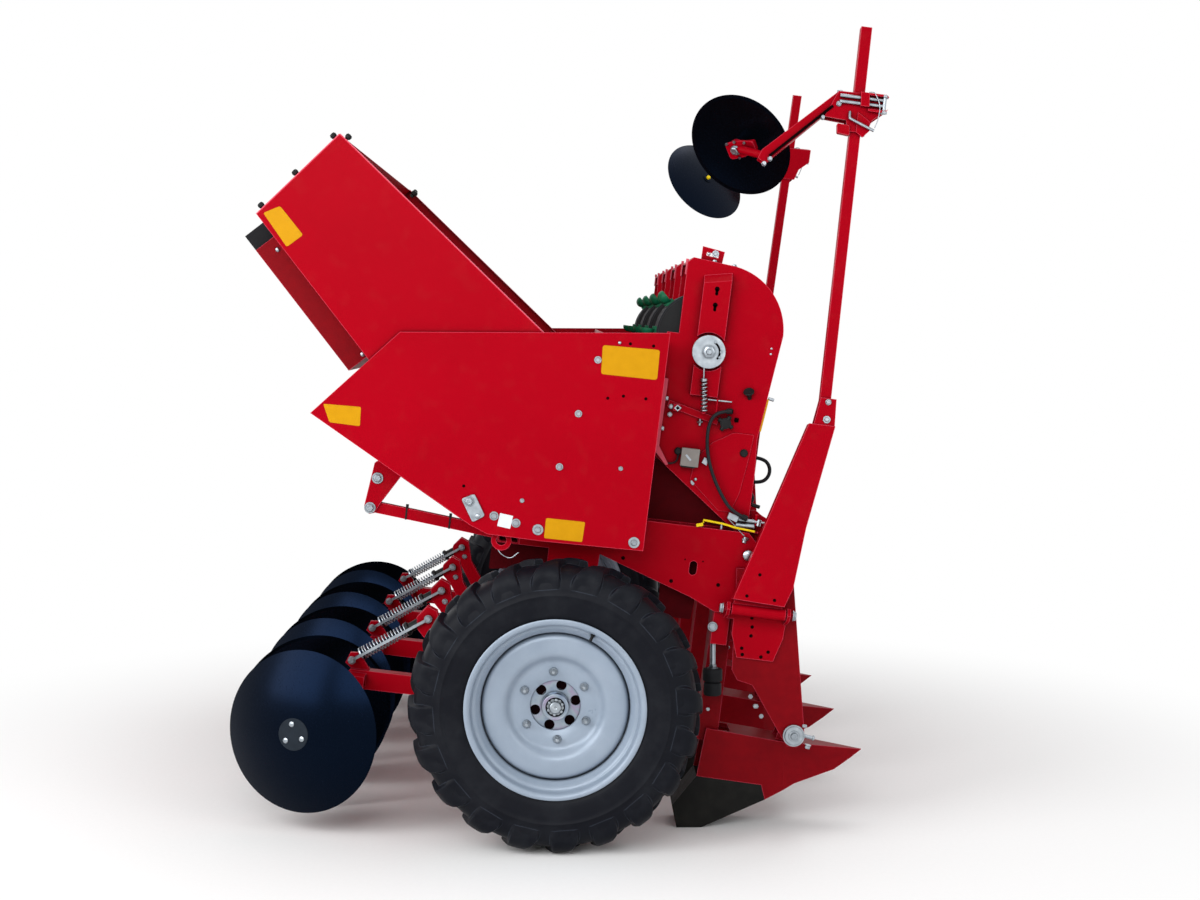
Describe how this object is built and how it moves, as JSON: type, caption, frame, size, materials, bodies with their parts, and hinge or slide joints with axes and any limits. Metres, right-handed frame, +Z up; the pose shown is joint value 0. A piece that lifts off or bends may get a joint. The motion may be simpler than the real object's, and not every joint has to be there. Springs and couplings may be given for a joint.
{
  "type": "potato planter",
  "caption": "Mounted row-crop potato planter with a tipping hopper, cup-belt housings, furrow openers, closing discs and folding row markers.",
  "frame": {"origin": "middle of the machine's length and width, on the ground under it", "axes": "+X forward towards the tractor, +Y to the machine's left, +Z up; the machine is parked nose-down on its wheels and furrow openers"},
  "size_m": [2.4354, 3.241, 2.9766],
  "materials": {
    "red_paint": "gloss",
    "grey_paint": "semi-gloss",
    "hub_paint": "semi-gloss",
    "tyre_rubber": "matte",
    "wear_steel": "rough",
    "rubber": "matte",
    "belt_rubber": "matte",
    "black_plastic": "matte",
    "green_plastic": "satin",
    "grey_plastic": "matte",
    "black_steel": "semi-gloss",
    "zinc": "satin",
    "disc_steel": "gloss"
  },
  "bodies": {
    "root": {"belt_guides": "black_plastic", "buffer_brackets": "red_paint", "buffer_pads": "rubber", "closing_arms": "red_paint", "closing_brackets": "red_paint", "closing_springs": "zinc", "control_box": "grey_plastic", "control_knobs": "black_plastic", "cross_beams": "red_paint", "cup_belts": "belt_rubber", "cups": "green_plastic", "drive_channel": "red_paint", "drive_disc": "zinc", "drive_lever": "red_paint", "drive_spring": "zinc", "furrow_openers": "red_paint", "headstock": "red_paint", "hopper_floor": "red_paint", "hopper_sides": "red_paint", "hopper_struts": "red_paint", "hose_glands": "rubber", "hose_loom": "rubber", "hose_loop": "rubber", "lifting_eyes": "zinc", "marker_base_left": "red_paint", "marker_base_right": "red_paint", "planting_tubes": "red_paint", "row_housings": "red_paint", "share_hangers": "red_paint", "share_shaft": "zinc", "side_frames": "red_paint", "spring_bars": "zinc", "spring_rods": "black_steel", "stub_axles": "red_paint", "wear_shoes": "wear_steel"},
    "tip_bin": {"bin_bumper": "rubber", "bin_shell": "red_paint", "bin_tray": "red_paint"},
    "rotor_1_left": {"closing_disc_1_left": "disc_steel"},
    "rotor_1_right": {"closing_disc_1_right": "disc_steel"},
    "rotor_2_left": {"closing_disc_2_left": "disc_steel"},
    "rotor_2_right": {"closing_disc_2_right": "disc_steel"},
    "rotor_3_left": {"closing_disc_3_left": "disc_steel"},
    "rotor_3_right": {"closing_disc_3_right": "disc_steel"},
    "rotor_4_left": {"closing_disc_4_left": "disc_steel"},
    "rotor_4_right": {"closing_disc_4_right": "disc_steel"},
    "wheel_left": {"hub_left": "hub_paint", "rim_left": "grey_paint", "tyre_left": "tyre_rubber"},
    "wheel_right": {"hub_right": "hub_paint", "rim_right": "grey_paint", "tyre_right": "tyre_rubber"},
    "marker_boom_left": {"marker_arm_left": "red_paint", "marker_clamp_left": "red_paint", "marker_pole_left": "red_paint"},
    "marker_boom_right": {"marker_arm_right": "red_paint", "marker_clamp_right": "red_paint", "marker_pole_right": "red_paint"},
    "marker_blade_left": {"marker_disc_left": "disc_steel"},
    "marker_blade_right": {"marker_disc_right": "disc_steel"}
  },
  "joints": [
    {"name": "bin_tip", "type": "hinge", "parent": "root", "child": "tip_bin", "pos_m": [-0.28547, 0, 1.66774], "axis": [0, 1, 0], "range_deg": [-40, 0]},
    {"name": "marker_fold_right", "type": "hinge", "parent": "root", "child": "marker_boom_right", "pos_m": [0.72896, -1.385, 0.83793], "axis": [0.9925, 0, -0.1219], "range_deg": [0, 110]},
    {"name": "marker_fold_left", "type": "hinge", "parent": "root", "child": "marker_boom_left", "pos_m": [0.72896, 1.385, 0.83793], "axis": [-0.9925, 0, 0.1219], "range_deg": [0, 110]},
    {"name": "wheel_spin_right", "type": "hinge", "parent": "root", "child": "wheel_right", "pos_m": [-0.00464, -1.5, 0.525], "axis": [0, 1, 0], "continuous": true},
    {"name": "wheel_spin_left", "type": "hinge", "parent": "root", "child": "wheel_left", "pos_m": [-0.00464, 1.5, 0.525], "axis": [0, 1, 0], "continuous": true},
    {"name": "marker_blade_spin_right", "type": "hinge", "parent": "marker_boom_right", "child": "marker_blade_right", "pos_m": [0.69347, -0.97, 2.55102], "axis": [-0.4871, -0.7252, -0.4867], "continuous": true},
    {"name": "marker_blade_spin_left", "type": "hinge", "parent": "marker_boom_left", "child": "marker_blade_left", "pos_m": [0.69347, 0.97, 2.55102], "axis": [-0.4871, 0.7252, -0.4867], "continuous": true},
    {"name": "closing_spin_1_right", "type": "hinge", "parent": "root", "child": "rotor_1_right", "pos_m": [-0.93547, -1.3, 0.38641], "axis": [-0.3395, -0.9397, 0.0417], "continuous": true},
    {"name": "closing_spin_1_left", "type": "hinge", "parent": "root", "child": "rotor_1_left", "pos_m": [-0.93547, -0.95, 0.38641], "axis": [-0.3395, 0.9397, 0.0417], "continuous": true},
    {"name": "closing_spin_2_right", "type": "hinge", "parent": "root", "child": "rotor_2_right", "pos_m": [-0.93547, -0.55, 0.38641], "axis": [-0.3395, -0.9397, 0.0417], "continuous": true},
    {"name": "closing_spin_2_left", "type": "hinge", "parent": "root", "child": "rotor_2_left", "pos_m": [-0.93547, -0.2, 0.38641], "axis": [-0.3395, 0.9397, 0.0417], "continuous": true},
    {"name": "closing_spin_3_right", "type": "hinge", "parent": "root", "child": "rotor_3_right", "pos_m": [-0.93547, 0.2, 0.38641], "axis": [-0.3395, -0.9397, 0.0417], "continuous": true},
    {"name": "closing_spin_3_left", "type": "hinge", "parent": "root", "child": "rotor_3_left", "pos_m": [-0.93547, 0.55, 0.38641], "axis": [-0.3395, 0.9397, 0.0417], "continuous": true},
    {"name": "closing_spin_4_right", "type": "hinge", "parent": "root", "child": "rotor_4_right", "pos_m": [-0.93547, 0.95, 0.38641], "axis": [-0.3395, -0.9397, 0.0417], "continuous": true},
    {"name": "closing_spin_4_left", "type": "hinge", "parent": "root", "child": "rotor_4_left", "pos_m": [-0.93547, 1.3, 0.38641], "axis": [-0.3395, 0.9397, 0.0417], "continuous": true}
  ]
}
